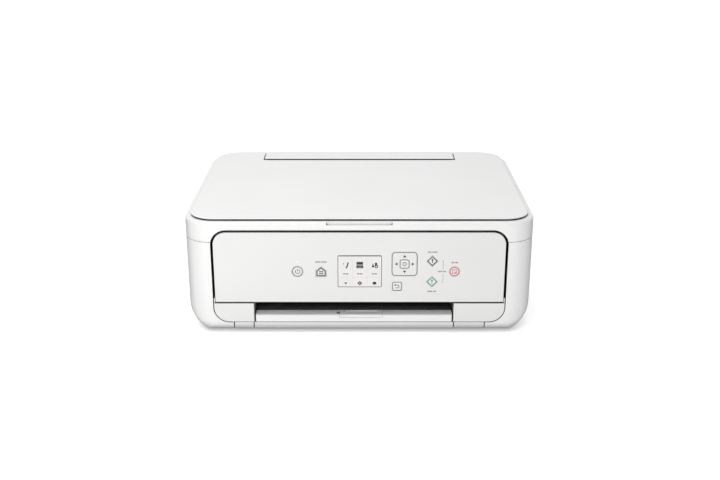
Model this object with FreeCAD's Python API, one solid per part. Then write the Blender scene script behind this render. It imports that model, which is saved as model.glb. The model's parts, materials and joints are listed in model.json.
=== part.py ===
import FreeCAD, Part
import math
import os
from FreeCAD import Vector

# Compact inkjet printer with a flatbed scanner on top.
# Millimetres. +X is the printer's right-hand side as seen from its front, the front
# face is at -Y and +Z is up. The origin is on the table, under the middle of the case.

# ---------------------------------------------------------------- driving dimensions
WIDTH = 425.0
DEPTH = 315.0
HEIGHT = 147.0
XO = WIDTH / 2
YF = -DEPTH / 2
YR = DEPTH / 2
FOOT_H = 3.0              # clearance under the case
WALL = 2.5                # thickness of the moulded case
SEAM_Z = 118.3            # parting line between the lower and the upper case
SEAM_GAP = 0.5
FRONT_R = 35.0            # plan radius of the front corners
REAR_R = 40.0             # plan radius of the rear corners
LOW_SIDE_R = 27.0         # radius along the bottom of the two sides
LOW_FRONT_R = 9.0         # radius along the bottom of front and rear
BAND_TOP = 143.8          # top of the rim under the document cover's flange

PAPER_X = -6.8            # centre line of the paper path
SLOT_HALF = 122.3         # half width of the output slot
PANEL_HALF = 176.0        # operation panel, half width
PANEL_TOP = 130.9
PANEL_LOW = 40.0
PANEL_R = 16.0            # top corners of the panel
PANEL_GAP = 3.0           # shadow gap beside and above the panel
TRIM_HALF = 179.0         # outer edge of the corner trims
TRIM_TOP = 39.0
TRIM_LOW = 14.8
TRIM_R = 19.7              # lower outer corner of the openings for the trims
STRIP_HALF = 154.6        # bottom strip under the trims
STRIP_TOP = 14.1
TRIM_GAP = 1.2            # seam between the corner trims and the case

BED_LOW = 133.0
BED_Z = 138.0             # top face of the scanner bed
LID_HALF = 205.4
LID_FRONT = -151.6
LID_REAR = 156.0
LID_LOW = 141.6           # bottom of the cover's skirt
FLANGE_LOW = 145.9        # underside of the cover's overhanging flange
SKIRT_IN = 4.0            # the skirt stands this far inside the flange
LID_R = 30.0
LID_GAP = 0.6
LID_AXIS = (148.0, 139.5)          # y, z of the document cover's hinge
NOTCH_HALF = 138.2                 # notch for the rear tray cover
NOTCH_Y = 109.5
REAR_COVER_HALF = 136.9
REAR_COVER_FRONT = 115.4
REAR_LUG = (134.7, 137.0)            # x of the lugs that carry the rear tray cover
REAR_COVER_AXIS = (153.5, 138.5)   # y, z
PANEL_AXIS = (-155.0, 42.5)        # y, z
PANEL_PIN_R = 1.3
FLAP_AXIS = (125.5, 135.0)         # y, z

CARRIAGE_HALF = 39.0
CARRIAGE_HOME = 130.5     # x of the carriage's centre when parked
SIDE_PLATE = 170.5        # inner face of the chassis side plates
PLATE_T = 1.5
FEED_Y = -34.0
FEED_IDLER_Y = -73.0
DISCHARGE_Y = -112.0
ROLLER_Z = 40.0
GEAR_M = 1.0
FEED_TEETH = 28
IDLER_TEETH = 50
PULLEY_X = 156.0
PULLEY_Y = -33.0
PULLEY_R = 6.0
INLET_X = -157.0          # mains inlet in the rear wall
USB_X = 152.0
FIT = 0.05                # radial clearance of a shaft in its hole


# ---------------------------------------------------------------- helpers
def box(x0, x1, y0, y1, z0, z1):
    return Part.makeBox(x1 - x0, y1 - y0, z1 - z0, Vector(x0, y0, z0))


def both_sides(side, x_in, x_out, y0, y1, z0, z1):
    """Box between two distances from the middle, on the left (-1) or the right (1)."""
    return box(min(side * x_in, side * x_out), max(side * x_in, side * x_out), y0, y1, z0, z1)


def cyl_x(x0, x1, y, z, r):
    return Part.makeCylinder(r, x1 - x0, Vector(x0, y, z), Vector(1, 0, 0))


def cyl_y(x, y0, y1, z, r):
    return Part.makeCylinder(r, y1 - y0, Vector(x, y0, z), Vector(0, 1, 0))


def cyl_z(x, y, z0, z1, r):
    return Part.makeCylinder(r, z1 - z0, Vector(x, y, z0), Vector(0, 0, 1))


def join(first, *others):
    return first.fuse(list(others)).removeSplitter()


def prism(points, direction):
    """Solid from a closed outline of straight edges."""
    return Part.Face(Part.makePolygon(points + [points[0]])).extrude(direction)


def arc(centre, r, start_deg, u, v):
    """Quarter circle about centre in the plane of the unit vectors u and v."""
    marks = []
    for step in (0, 45, 90):
        a = math.radians(start_deg + step)
        marks.append(centre + u * (r * math.cos(a)) + v * (r * math.sin(a)))
    return Part.Arc(*marks).toShape()


def rounded_wire(a0, a1, b0, b1, radii, origin, u, v):
    """Rectangle with corner radii (low-a low-b, high-a low-b, high-a high-b, low-a high-b)."""
    corners = [(a0, b0, 1, 1, 180), (a1, b0, -1, 1, 270), (a1, b1, -1, -1, 0), (a0, b1, 1, -1, 90)]
    edges = []
    tips = []
    for (a, b, sa, sb, start), r in zip(corners, radii):
        if r > 0:
            centre = origin + u * (a + sa * r) + v * (b + sb * r)
            curve = arc(centre, r, start, u, v)
            tips.append((curve.valueAt(curve.FirstParameter), curve.valueAt(curve.LastParameter), curve))
        else:
            point = origin + u * a + v * b
            tips.append((point, point, None))
    for i, (_, leave, curve) in enumerate(tips):
        if curve is not None:
            edges.append(curve)
        following = tips[(i + 1) % 4][0]
        if leave.distanceToPoint(following) > 1e-6:
            edges.append(Part.makeLine(leave, following))
    return Part.Wire(Part.__sortEdges__(edges))


def plate_z(x0, x1, y0, y1, z0, z1, radii):
    """Horizontal plate; radii go front-left, front-right, rear-right, rear-left."""
    wire = rounded_wire(x0, x1, y0, y1, radii, Vector(0, 0, z0), Vector(1, 0, 0), Vector(0, 1, 0))
    return Part.Face(wire).extrude(Vector(0, 0, z1 - z0))


def plate_y(x0, x1, z0, z1, y0, y1, radii):
    """Upright plate facing the front; radii go low-left, low-right, top-right, top-left."""
    wire = rounded_wire(x0, x1, z0, z1, radii, Vector(0, y0, 0), Vector(1, 0, 0), Vector(0, 0, 1))
    return Part.Face(wire).extrude(Vector(0, y1 - y0, 0))


def soften(shape, r, keep):
    """Round the edges that the test keep(edge) picks."""
    return shape.makeFillet(r, [e for e in shape.Edges if keep(e)])


def gear_x(x0, x1, y, z, teeth, module, bore, turn_deg):
    """Spur gear on an X axle; turn_deg is the angle of its first tooth, from +Y towards +Z."""
    pitch_r = module * teeth / 2
    tip_r = pitch_r + 0.75 * module
    root_r = pitch_r - 1.2 * module
    step = 2 * math.pi / teeth
    root_half = 0.30 * step
    tip_half = 0.11 * step
    points = []
    for i in range(teeth):
        mid = math.radians(turn_deg) + i * step
        for r, offset in ((root_r, -root_half), (tip_r, -tip_half), (tip_r, tip_half), (root_r, root_half)):
            a = mid + offset
            points.append(Vector(x0, y + r * math.cos(a), z + r * math.sin(a)))
    body = prism(points, Vector(x1 - x0, 0, 0))
    return body.cut(cyl_x(x0 - 1, x1 + 1, y, z, bore)) if bore else body


# ---------------------------------------------------------------- outer case
def case_section(inset, turn):
    """Plan outline of the lower case where its side curve has turned by turn (0 to 90 deg)."""
    side_r = LOW_SIDE_R - inset
    grown = math.sin(turn)
    z = FOOT_H + inset + side_r * (1 - math.cos(turn))
    half = XO - LOW_SIDE_R + side_r * grown
    low_r = 14.0
    front_r = low_r + (FRONT_R - inset - low_r) * grown
    rear_r = low_r + (REAR_R - inset - low_r) * grown
    return rounded_wire(-half, half, YF + inset, YR - inset, (front_r, front_r, rear_r, rear_r),
                        Vector(0, 0, z), Vector(1, 0, 0), Vector(0, 1, 0))


def case_body(inset, top):
    """Solid of the lower case: straight walls that curve under at the bottom."""
    floor_z = FOOT_H + inset
    count = 11
    wires = [case_section(inset, math.pi / 2 * i / (count - 1)) for i in range(count)]
    lower = Part.makeLoft(wires, True, False, False, 3)
    upper = Part.Face(wires[-1]).extrude(Vector(0, 0, top - floor_z - LOW_SIDE_R + inset))
    r = LOW_FRONT_R - inset
    side_view = rounded_wire(YF + inset, YR - inset, floor_z, top, (r, r, 0, 0),
                             Vector(-XO - 10, 0, 0), Vector(0, 1, 0), Vector(0, 0, 1))
    return lower.fuse(upper).common(Part.Face(side_view).extrude(Vector(WIDTH + 20, 0, 0)))


def panel_opening(z_top):
    """Hole in the front of the case for the operation panel."""
    edge = PANEL_HALF + PANEL_GAP
    r = PANEL_R + PANEL_GAP
    top = PANEL_TOP + PANEL_GAP
    hole = plate_y(-edge, edge, TRIM_TOP, top, YF - 5, YF + 22, (0, 0, r, r))
    return hole.common(box(-XO, XO, YF - 5, YF + 22, 0, z_top))


def make_outer_housing():
    shell = case_body(0.0, SEAM_Z).cut(case_body(WALL, SEAM_Z + 10))
    low = TRIM_LOW - TRIM_GAP
    trims = plate_y(-TRIM_HALF, TRIM_HALF, low, TRIM_TOP + 1, YF - 5, YF + 22, (TRIM_R, TRIM_R, 0, 0))
    strip = box(-STRIP_HALF, STRIP_HALF, YF - 5, 140, 0, low + 0.1)
    shell = shell.cut([panel_opening(SEAM_Z + 5), trims, strip])
    inlet = box(INLET_X - 11, INLET_X + 11, 150, 160, 71.5, 90.5)
    usb = box(USB_X - 7, USB_X + 7, 150, 160, 59, 72)
    duct = plate_y(-106, 94, 39, 101, 150, 160, (4, 4, 4, 4))
    vents = [box(110 + 7 * i, 114 + 7 * i, 150, 160, 86, 104) for i in range(8)]
    shell = shell.cut([inlet, usb, duct] + vents)
    posts = [cyl_z(sx * 196, y, 60, 113.7, 3.5) for sx in (-1, 1) for y in (-100, 0)]
    webs = [box(min(sx * 196, sx * 211), max(sx * 196, sx * 211), y - 0.8, y + 0.8, 60, 113)
            for sx in (-1, 1) for y in (-100, 0)]
    return shell.fuse(posts + webs)


def make_bottom_case():
    half = STRIP_HALF - TRIM_GAP
    floor = box(-half, half, -148, 139.6, FOOT_H, FOOT_H + WALL)
    left = box(-half, PAPER_X - SLOT_HALF - TRIM_GAP, YF, -146, FOOT_H, STRIP_TOP)
    right = box(PAPER_X + SLOT_HALF + TRIM_GAP, half, YF, -146, FOOT_H, STRIP_TOP)
    rails = [box(PAPER_X + side, PAPER_X + side + 2, -140, 120, FOOT_H + 1, 13) for side in (-125.0, 123.0)]
    body = join(floor, left, right, *rails)

    def front_low(edge):
        b = edge.BoundBox
        return b.YMax < YF + 0.01 and b.ZMax < FOOT_H + 0.01
    return soften(body, LOW_FRONT_R - 1, front_low)


def make_front_trim(x_in, x_out):
    """Fixed cover beside the output slot; x_out is the side that meets the case."""
    low, high = min(x_in, x_out), max(x_in, x_out)
    r = TRIM_R - TRIM_GAP
    radii = (r, 0, 0, 0) if x_out < 0 else (0, r, 0, 0)
    face = plate_y(low, high, TRIM_LOW, TRIM_TOP, YF, YF + WALL, radii)
    cheek_x = x_in - 2 if x_out < 0 else x_in
    cheek = box(cheek_x, cheek_x + 2, YF, -122, TRIM_LOW, TRIM_TOP)
    ledge = box(low + 3, high - 1, YF + 1, YF + 4.4, TRIM_TOP - 1.6, TRIM_TOP)
    y, z = PANEL_AXIS
    side = 1 if x_out > 0 else -1
    ear = box(min(side * 176.7, x_out), max(side * 176.7, x_out), YF + 0.8, y + 4, TRIM_TOP - 4, z + 3)
    bore = cyl_x(-XO, XO, y, z, PANEL_PIN_R + FIT)
    body = join(face, cheek, ledge, ear).cut(bore)

    def slot_edge(edge):
        b = edge.BoundBox
        return b.XLength < 0.01 and abs(b.XMin - x_in) < 0.01 and b.YMax < YF + 0.01
    return soften(body, 1.0, slot_edge)


# ---------------------------------------------------------------- scanner and its case
GRIP_HALF = 39.7          # finger recess in the rim, under the front of the document cover


def make_scanner_housing():
    radii = (FRONT_R, FRONT_R, REAR_R, REAR_R)
    outer = plate_z(-XO, XO, YF, YR, SEAM_Z + SEAM_GAP, BAND_TOP, radii)
    outer = soften(outer, 3.6, lambda e: e.BoundBox.ZMin > BAND_TOP - 0.01)
    rim = LID_HALF - SKIRT_IN + LID_GAP
    rim_r = LID_R - SKIRT_IN + LID_GAP
    rim_front = LID_FRONT + SKIRT_IN - LID_GAP
    pocket = plate_z(-rim, rim, rim_front, LID_REAR + LID_GAP, BED_LOW, 150, (rim_r, rim_r, 33.6, 33.6))
    inner = plate_z(-XO + WALL, XO - WALL, YF + WALL, YR - WALL, 110, 133,
                    (FRONT_R - WALL, FRONT_R - WALL, REAR_R - WALL, REAR_R - WALL))
    shell = outer.cut([pocket, inner])
    shell = shell.cut([panel_opening(PANEL_TOP + PANEL_GAP), rear_cuts()])
    grip = plate_y(-GRIP_HALF, GRIP_HALF, 139.7, 150, YF - 2, YF + 3.2, (1.2, 1.2, 0, 0))
    shell = shell.cut(grip)
    well_front = box(-141, 141, 115, 117.4, SEAM_Z + 1, 141.2)
    well_steps = ((134, 141.2), (154.8, 128.3))
    well_sides = [both_sides(s, 138.6, 141, 115, y, 110, z) for s in (-1, 1) for y, z in well_steps]
    lugs = [both_sides(s, REAR_LUG[0], REAR_LUG[1], 150, YR - 1, 120, 141.2) for s in (-1, 1)]
    shelves = [both_sides(s, 141, 207, 134.4, 155.5, 127.5, 130) for s in (-1, 1)]
    corner = plate_z(-XO + 1, XO - 1, YF + 1, YR - 1, 100, 150, (34, 34, 39, 39))
    shelves = [s.common(corner) for s in shelves]
    tubes = [both_sides(s, 163.4, 182, 141.6, 153.4, 105, 128) for s in (-1, 1)]
    ears = [box(x, x + 3, 116, 129, 131, 138.2) for x in (-121.2, 104.6)]
    added = [well_front] + well_sides + lugs + shelves + tubes + ears
    body = shell.fuse(added)
    y, z = REAR_COVER_AXIS
    holes = [cyl_x(min(s * 130, s * 145), max(s * 130, s * 145), y, z, 1.8 + FIT) for s in (-1, 1)]
    holes += [both_sides(s, 165.7, 180.3, 143.9, 152.1, 100, 131) for s in (-1, 1)]
    holes += [cyl_x(-125, 110, FLAP_AXIS[0], FLAP_AXIS[1], 1.5 + FIT)]
    return body.cut(holes).removeSplitter()


def rear_cuts():
    """Room behind the bed: the rear feed opening and the swing of the document cover."""
    feed = box(-138.6, 138.6, 117.4, 160, 130.2, 150)
    feed_low = box(-138.6, 138.6, 117.4, 155, 100, 150)
    swing = [both_sides(s, 138.3, 200, 134, 160, 130, 150) for s in (-1, 1)]
    bridge = box(-141.1, 141.1, 134, 160, 141.2, 150)
    return feed.fuse([feed_low, bridge] + swing)


def make_scan_bed():
    rim = LID_HALF - SKIRT_IN + 0.3
    front = LID_FRONT + SKIRT_IN - 0.3
    r = LID_R - SKIRT_IN
    plate = plate_z(-rim, rim, front, 134.2, BED_LOW, BED_Z, (r, r, 4, 4))
    corner = plate_z(-rim, rim, front, 151.5, 120, 150, (r, r, 33, 33))
    well = box(-141.2, 141.2, 114.8, 140, 130, 140)
    window = box(GLASS[0] + 4, GLASS[1] - 4, GLASS[2] + 4, GLASS[3] - 4, 130, 140)
    rabbet = box(GLASS[0] - 0.2, GLASS[1] + 0.2, GLASS[2] - 0.2, GLASS[3] + 0.2, 135.2, 140)
    return plate.common(corner).cut([well, window, rabbet])


GLASS = (-160.0, 148.0, -119.0, 101.0)     # x low, x high, y low, y high


def make_platen_glass():
    return box(GLASS[0], GLASS[1], GLASS[2], GLASS[3], 135.2, BED_Z)


def make_scanner_base():
    outer = plate_z(-201.5, 201.5, -139, 112.5, 114, BED_LOW, (8, 8, 4, 4))
    cavity = plate_z(-199.5, 199.5, -137, 110.5, 116, 140, (6, 6, 3, 3))
    body = outer.cut(cavity)
    guide = box(-200, 200, -14, -6, 116, 121)
    rack = box(-200, 200, 14, 17.3, 116, 122.4)
    ribs = [box(x, x + 1.2, -137, 110.5, 115.5, 117) for x in range(-180, 181, 60)]
    return join(body, guide, rack, *ribs)


SCAN_HOME = -180.0        # x of the scan carriage's centre when parked


def make_scan_carriage():
    x = SCAN_HOME
    bar = box(x - 10, x + 10, -132, 106, 125, BED_LOW - 0.3)
    lens = box(x - 1.5, x + 1.5, -125, 98, 132.2, 134)
    bar = bar.cut(lens)
    saddle = box(x - 10, x + 10, -19, -1, 117.8, 126).cut(box(x - 11, x + 11, -14.3, -5.7, 110, 121.3))
    motor = cyl_z(x, 42, 119, 126, 9)
    shoes = [box(x - 4, x + 4, y, y + 6, 117.6, 126) for y in (-128, 98)]
    axle = cyl_z(x, 24.2, 118.4, 126, 1.5)
    return join(bar, saddle, motor, axle, *shoes)


def make_scan_drive_gear():
    x = SCAN_HOME
    ring = cyl_z(x, 24.2, 118.6, 122.6, 6.5).cut(cyl_z(x, 24.2, 118, 123, 1.5 + FIT))
    notches = []
    for i in range(12):
        a = math.radians(30 * i)
        notches.append(cyl_z(x + 6.9 * math.cos(a), 24.2 + 6.9 * math.sin(a), 118, 123, 0.9))
    return ring.cut(notches)


# ---------------------------------------------------------------- document cover
def make_document_cover():
    """Thin flange that overhangs the case, on a skirt that drops into it."""
    radii = (LID_R, LID_R, 33, 33)
    half = LID_HALF - SKIRT_IN
    front = LID_FRONT + SKIRT_IN
    r = LID_R - SKIRT_IN
    flange = plate_z(-LID_HALF, LID_HALF, LID_FRONT, LID_REAR, FLANGE_LOW, HEIGHT, radii)
    flange = soften(flange, 0.9, lambda e: e.BoundBox.ZMin > HEIGHT - 0.01)
    skirt = plate_z(-half, half, front, 128, LID_LOW, FLANGE_LOW, (r, r, 0, 0))
    rear = plate_z(-LID_HALF, LID_HALF, LID_FRONT, LID_REAR, LID_LOW, FLANGE_LOW, radii)
    rear = rear.common(box(-190, 190, 120, 160, 130, 150))
    hollow = plate_z(-half + 2, half - 2, front + 2, LID_REAR - 2, 130, HEIGHT - 2, (r - 2, r - 2, 31, 31))
    notch = plate_z(-NOTCH_HALF, NOTCH_HALF, NOTCH_Y, 170, 120, 160, (3, 3, 0, 0))
    edge = NOTCH_HALF + 2
    border = plate_z(-edge, edge, NOTCH_Y - 2, LID_REAR, LID_LOW, HEIGHT - 1, (5, 5, 0, 0))
    body = join(flange, skirt, rear).cut(hollow).fuse(border).cut(notch)
    relief = [both_sides(s, 160, 186, LID_REAR - 6, 160, 120, HEIGHT - 2) for s in (-1, 1)]
    body = body.cut(relief)
    y, z = LID_AXIS
    aprons = [both_sides(s, 141.6, 160, LID_REAR - 2, LID_REAR, 137, 143) for s in (-1, 1)]
    lug_top = HEIGHT - 1.5
    lugs = [both_sides(s, a, a + 3, y - 4.5, y + 4.5, z - 4, lug_top) for s in (-1, 1) for a in (162.4, 180.6)]
    ribs = [box(-190, 190, v, v + 1.2, 142.5, HEIGHT - 1.5) for v in (-138.0, 105.0)]
    body = body.fuse(aprons + lugs + ribs)
    bores = cyl_x(-190, 190, y, z, 2 + FIT).cut(box(-150, 150, 100, 200, 100, 160))
    return body.cut(bores).removeSplitter()


def make_document_pad():
    return plate_z(-163, 151, -122, 104, BED_Z + 0.3, HEIGHT - 2.2, (3, 3, 3, 3))


def make_lid_hinges():
    """Two hinge posts that slide up out of the case and carry the cover on pins."""
    y, z = LID_AXIS
    solids = []
    for s in (-1, 1):
        post = both_sides(s, 166, 180, y - 3.8, y + 3.8, 107, z)
        barrel = cyl_x(min(s * 166, s * 180), max(s * 166, s * 180), y, z, 3.8)
        pin = cyl_x(min(s * 162.6, s * 183.4), max(s * 162.6, s * 183.4), y, z, 2.0)
        solids.append(join(post, barrel, pin))
    return Part.makeCompound(solids)


# ---------------------------------------------------------------- rear paper tray
SUPPORT_PIVOT = (PAPER_X, 143.2)   # x, y of the pin the paper support swings on
SUPPORT_PIN_R = 3.0
SUPPORT_HALF = 7.0        # half width of the paper support
SUPPORT_REACH = 90.0      # from its pin to its tip


def make_rear_tray_cover():
    y, z = REAR_COVER_AXIS
    half = REAR_COVER_HALF
    front = REAR_COVER_FRONT
    rear = YR - 0.3
    skin = plate_z(-half, half, front, rear, 144.6, HEIGHT, (2.4, 2.4, 0, 0))
    skin = soften(skin, 0.5, lambda e: e.BoundBox.ZMin > HEIGHT - 0.01 and e.BoundBox.YMax < rear - 0.1)
    wedge = [(front - 1, 144.0), (front - 1, 146.0), (front, 146.0), (front + 4, 144.6), (front + 4, 144.0)]
    skin = skin.cut(prism([Vector(-half - 1, a, b) for a, b in wedge], Vector(2 * half + 2, 0, 0)))
    end = REAR_LUG[0] - 0.3
    apron = box(-end, end, rear - 2, rear, 131.5, 146)
    arms = [both_sides(s, 130.5, end, y - 3, rear - 1, z - 3, 145) for s in (-1, 1)]
    pins = [cyl_x(min(s * 132, s * 136.8), max(s * 132, s * 136.8), y, z, 1.8) for s in (-1, 1)]
    ribs = [box(x, x + 1.4, front + 5, 151, 142.4, 145) for x in (-120, -96, -72, -48, -24, 96, 120)]
    px, py = SUPPORT_PIVOT
    pivot = cyl_z(px, py, 140.2, 145, SUPPORT_PIN_R)
    head = cyl_z(px, py, 139.8, 141.1, SUPPORT_PIN_R + 2)
    return join(skin, apron, *(arms + pins + ribs + [pivot, head]))


def make_paper_support():
    """Arm that lies under the rear tray cover and swings out past its free edge."""
    x, y = SUPPORT_PIVOT
    w = SUPPORT_HALF
    arm = plate_z(x - w, x + SUPPORT_REACH, y - w, y + w, 141.5, 144.2, (w - 0.1,) * 4)
    recess = plate_z(x + 10, x + SUPPORT_REACH - 16, y - w + 2, y + w - 2, 141, 142.8, (2, 2, 2, 2))
    grip = [box(v, v + 1.2, y - 5, y + 5, 141, 142.1) for v in (x + 78, x + 81, x + 84)]
    return arm.cut([recess, cyl_z(x, y, 140, 146, SUPPORT_PIN_R + FIT)] + grip)


def make_feed_slot_cover():
    y, z = FLAP_AXIS
    flap = plate_z(-117.4, 103.8, y, 144.4, z - 1, z + 1, (0, 0, 3, 3))
    roll = cyl_x(-117.4, 103.8, y, z, 1.9)
    pins = cyl_x(-120.6, 107, y, z, 1.5)
    stiff = [box(x, x + 1.4, y + 3, 142, z - 2.4, z) for x in range(-100, 101, 40)]
    return join(flap, roll, pins, *stiff)


def make_rear_guide(side, lane):
    """Width guide of the rear tray; side is -1 for the left one, lane the y of its foot."""
    face = PAPER_X + side * 108.2
    wall = box(min(face, face + side * 2), max(face, face + side * 2), 126, 141, 106, 131.5)
    lug = box(min(face, face + side * 6), max(face, face + side * 6), 126, 141, 106, 108)
    inner = face - side * 50
    foot = box(min(face, inner), max(face, inner), lane, lane + 4, 106, 107.8)
    return join(wall, lug, foot)


def make_rear_feed_chute():
    """Sloping guide that leads a sheet from the rear tray down to the feed roller."""
    x0, x1 = PAPER_X - 125, PAPER_X + 125
    line = [(148, 129), (148, 100), (22, 52), (-22, 47), (-22, 45), (22, 50), (150, 98.5), (150, 129)]
    body = prism([Vector(x0, y, z) for y, z in line], Vector(x1 - x0, 0, 0))
    shelf = box(x0, x1, 127.5, 141, 103, 105.8)
    cheeks = [box(x, x + 2, 127.5, 149, 96, 105.8) for x in (x0, x1 - 2)]
    return join(body, shelf, *cheeks)


def make_rear_transport_cover():
    face = plate_y(-105.4, 93.4, 39.6, 100.4, YR - WALL, YR - 0.2, (3.6, 3.6, 3.6, 3.6))
    grips = [plate_y(x - 14, x + 14, 84, 92, YR - 1.6, YR + 1, (3, 3, 3, 3)) for x in (-60, 48)]
    ribs = [box(x, x + 1.5, 141, YR - 2, 44, 92) for x in range(-96, 90, 23)]
    bend = [cyl_x(x - 1, x + 3, 124, 68, 25) for x in range(-96, 90, 23)]
    return face.cut(grips).fuse([rib.cut(b) for rib, b in zip(ribs, bend)]).removeSplitter()


# ---------------------------------------------------------------- operation panel
SKIN = 2.4
KEY_FACE = YF + 0.15
KEY_GAP = 0.3
SCREEN = (-26.3, 27.3, 60.6, 102.0)        # x low, x high, z low, z high


def house(half, grow, y0, y1):
    """Outline of a small house, the home key, at its place on the panel."""
    x, z = -46.3, 80.8
    h = half + grow
    points = [(-h, -h), (h, -h), (h, 0.3 * half), (0, h + 0.6 * grow), (-h, 0.3 * half)]
    return prism([Vector(x + a, y0, z + b) for a, b in points], Vector(0, y1 - y0, 0))


def diamond(x, z, half, y0, y1):
    points = [(-half, 0), (0, -half), (half, 0), (0, half)]
    return prism([Vector(x + a, y0, z + b) for a, b in points], Vector(0, y1 - y0, 0))


def square(x, z, half, r, y0, y1):
    return plate_y(x - half, x + half, z - half, z + half, y0, y1, (r, r, r, r))


def key_outline(name, grow, y0, y1):
    """Solid of a key's outline between two depths, grown by grow all round."""
    if name == "power_button":
        return cyl_y(-74.8, y0, y1, 81.1, 6.8 + grow)
    if name == "home_button":
        return house(6.6, grow, y0, y1)
    if name == "cross_key":
        return square(54.6, 90.7, 15.4 + grow, 4.5 + grow, y0, y1)
    if name == "ok_button":
        return square(54.6, 90.7, 5.7 + grow, 2.4 + grow, y0, y1)
    if name == "back_button":
        return square(45.8, 61.7, 5.8 + grow, 2.0 + grow, y0, y1)
    if name == "black_start_button":
        return diamond(88.1, 94.5, 7.0 + 1.4 * grow, y0, y1)
    if name == "colour_start_button":
        return diamond(88.1, 67.7, 7.0 + 1.4 * grow, y0, y1)
    return cyl_y(115.1, y0, y1, 81.0, 6.4 + grow)


PLAIN_KEYS = ("power_button", "home_button", "back_button", "black_start_button",
              "colour_start_button", "stop_button")


def make_operation_panel():
    r = PANEL_R
    outer = plate_y(-PANEL_HALF, PANEL_HALF, PANEL_LOW, PANEL_TOP, YF, -146, (0, 0, r, r))

    def low_front(edge):
        b = edge.BoundBox
        return b.ZMax < PANEL_LOW + 0.01 and b.YMax < YF + 0.01

    def other_front(edge):
        b = edge.BoundBox
        return b.YMax < YF + 0.01 and b.ZMax > PANEL_LOW + 3
    outer = soften(outer, 2.5, low_front)
    outer = soften(outer, 0.7, other_front)
    inner = plate_y(-PANEL_HALF + 2, PANEL_HALF - 2, PANEL_LOW + 2.2, PANEL_TOP - 2, YF + SKIN, -140,
                    (0, 0, r - 2, r - 2))
    holes = [key_outline(name, KEY_GAP, YF - 1, YF + SKIN + 1) for name in PLAIN_KEYS + ("cross_key",)]
    holes.append(plate_y(SCREEN[0], SCREEN[1], SCREEN[2], SCREEN[3], YF - 1, YF + SKIN + 1, (2, 2, 2, 2)))
    y, z = PANEL_AXIS
    shell = outer.cut([inner] + holes)
    pins = [cyl_x(min(s * 174, s * 178.4), max(s * 174, s * 178.4), y, z, PANEL_PIN_R) for s in (-1, 1)]
    return shell.fuse(pins).removeSplitter()


def make_panel_inner_cover():
    back = plate_y(-PANEL_HALF + 0.4, PANEL_HALF - 0.4, PANEL_LOW + 2.6, PANEL_TOP - 0.4, -146, -143.6,
                   (0, 0, PANEL_R - 0.4, PANEL_R - 0.4))
    grooves = [box(-150, 150, -144.4, -143, z, z + 1.2) for z in range(56, 124, 11)]
    return back.cut(grooves)


def make_control_board():
    board = box(-92, 128, -149.8, -148.2, 50, 112)
    lcd = box(SCREEN[0] - 2, SCREEN[1] + 2, -154.8, -149.8, SCREEN[2] - 2.5, SCREEN[3] + 2.5)
    switches = []
    for name in PLAIN_KEYS + ("ok_button",):
        b = key_outline(name, 0, 0, 1).BoundBox
        x, z = b.Center.x, b.Center.z
        switches.append(box(x - 2.6, x + 2.6, -151.7, -149.8, z - 2.6, z + 2.6))
    for dx, dz in ((-11, 0), (11, 0), (0, -11), (0, 11)):
        switches.append(cyl_y(54.6 + dx, -151.9, -149.8, 90.7 + dz, 2))
    lamp = cyl_y(-74.8, -155.0, -149.8, 93.4, 1.2)
    chip = box(-20, 10, -148.2, -146.8, 60, 80)
    pads = [box(x, x + 8, -148.2, -146.2, 84, 92) for x in (-60, 30, 90)]
    return join(board, lcd, lamp, chip, *(switches + pads))


def make_lcd_window():
    return plate_y(SCREEN[0] + 0.05, SCREEN[1] - 0.05, SCREEN[2] + 0.05, SCREEN[3] - 0.05,
                   YF + 0.1, YF + 2.0, (1.95, 1.95, 1.95, 1.95))


def make_key(name):
    """Key cap with the flange that keeps it behind the panel and a stem to its switch."""
    cap = key_outline(name, 0, KEY_FACE, YF + SKIN + 1.2)
    flange = key_outline(name, 1.0, YF + SKIN + 0.2, YF + SKIN + 1.2)
    c = cap.BoundBox.Center
    stem = cyl_y(c.x, YF + SKIN + 1, -152.6, c.z, 1.6)
    return join(cap, flange, stem)


def make_cross_key():
    cap = key_outline("cross_key", 0, KEY_FACE, YF + SKIN + 1.6)
    flange = key_outline("cross_key", 1.2, YF + SKIN + 0.6, YF + SKIN + 1.6)
    hole = key_outline("ok_button", KEY_GAP, YF - 1, YF + 10)
    nub = [cyl_y(54.6 + dx, YF + 3.5, -152.9, 90.7 + dz, 1.4)
           for dx, dz in ((-11, 0), (11, 0), (0, -11), (0, 11))]
    relief = key_outline("ok_button", 1.4, YF + SKIN, YF + 10)
    pivots = [cyl_x(a, a + 2.2, -154, 90.7, 0.45) for a in (54.6 - 18.2, 54.6 + 16.0)]
    return join(cap, flange, *(nub + pivots)).cut([hole, relief])


def make_ok_button():
    cap = key_outline("ok_button", 0, KEY_FACE, YF + SKIN + 1.2)
    flange = key_outline("ok_button", 0.9, YF + SKIN + 0.3, YF + SKIN + 1.2)
    stem = cyl_y(54.6, YF + SKIN + 1, -152.6, 90.7, 1.6)
    return join(cap, flange, stem)


# ---------------------------------------------------------------- trays and cassette
CASSETTE_HALF = 121.5
TRAY_X = (-127.5, 113.9)
LIP_BACK = -142.5         # back edge of the output tray's raised lip
SUPPORT_X = (-24.0, 28.0)


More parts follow.
